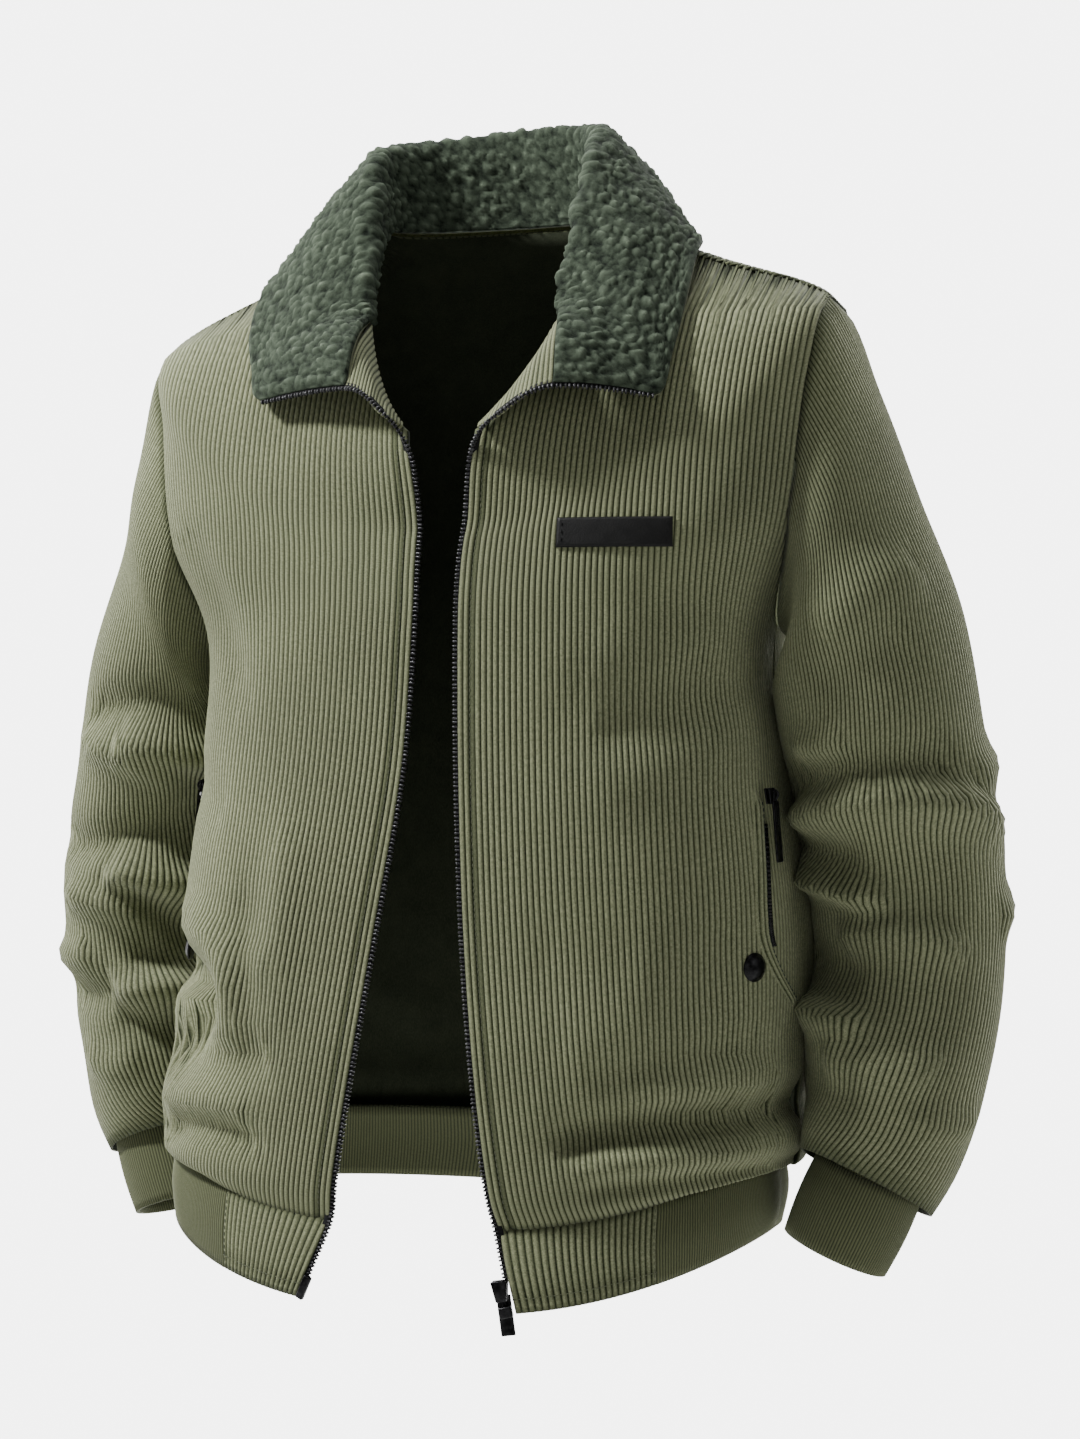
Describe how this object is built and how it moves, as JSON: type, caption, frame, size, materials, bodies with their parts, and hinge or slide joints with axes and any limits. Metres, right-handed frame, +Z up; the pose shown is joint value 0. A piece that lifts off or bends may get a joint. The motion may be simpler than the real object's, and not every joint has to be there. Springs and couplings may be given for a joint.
{
  "type": "zip jacket",
  "caption": "Corduroy zip jacket worn open, with a folded fleece collar, ribbed cuffs and hem band, slanted zip pockets with snaps and a blank leather patch.",
  "frame": {"origin": "middle of the neck's base, inside the collar, where the wearer's neck holds the jacket up", "axes": "+X to the wearer's left, -Y to the front, +Z up"},
  "size_m": [0.681, 0.291, 0.7795],
  "materials": {
    "corduroy": "wide-wale corduroy",
    "rib_knit": "ribbed knit",
    "fleece": "curly pile",
    "zip_tape": "woven tape with metal teeth",
    "black_metal": "satin black",
    "patch_leather": "matt grained"
  },
  "bodies": {
    "jacket": {"front_left": "corduroy", "front_right": "corduroy", "back": "corduroy", "sleeve_left": "corduroy", "sleeve_right": "corduroy", "cuff_left": "rib_knit", "cuff_right": "rib_knit", "hem_tab_left": "corduroy", "hem_tab_right": "corduroy", "hem_rib": "rib_knit", "collar": "fleece", "under_collar": "corduroy", "facing_left": "corduroy", "facing_right": "corduroy", "zip_tape_left": "zip_tape", "zip_tape_right": "zip_tape", "zip_slider": "black_metal", "zip_retainer": "black_metal", "zip_pin": "black_metal", "pocket_welt_left": "corduroy", "pocket_tape_left": "zip_tape", "pocket_slider_left": "black_metal", "pocket_snap_left": "black_metal", "pocket_welt_right": "corduroy", "pocket_tape_right": "zip_tape", "pocket_slider_right": "black_metal", "pocket_snap_right": "black_metal", "label_patch": "patch_leather"},
    "zip_pull": {"zip_pull": "black_metal"},
    "pocket_pull_left": {"pocket_pull_left": "black_metal"},
    "pocket_pull_right": {"pocket_pull_right": "black_metal"}
  },
  "joints": [
    {"name": "zip_pull_hinge", "type": "hinge", "parent": "jacket", "child": "zip_pull", "pos_m": [0.05208, -0.12536, -0.64762], "axis": [0.9794, 0.1427, 0.1429], "range_deg": [-4, 160]},
    {"name": "pocket_pull_left_hinge", "type": "hinge", "parent": "jacket", "child": "pocket_pull_left", "pos_m": [0.20406, -0.05296, -0.34656], "axis": [-0.2392, -0.9706, -0.0271], "range_deg": [0, 120]},
    {"name": "pocket_pull_right_hinge", "type": "hinge", "parent": "jacket", "child": "pocket_pull_right", "pos_m": [-0.20808, -0.01724, -0.34482], "axis": [-0.0975, 0.9948, -0.0304], "range_deg": [0, 60]}
  ]
}
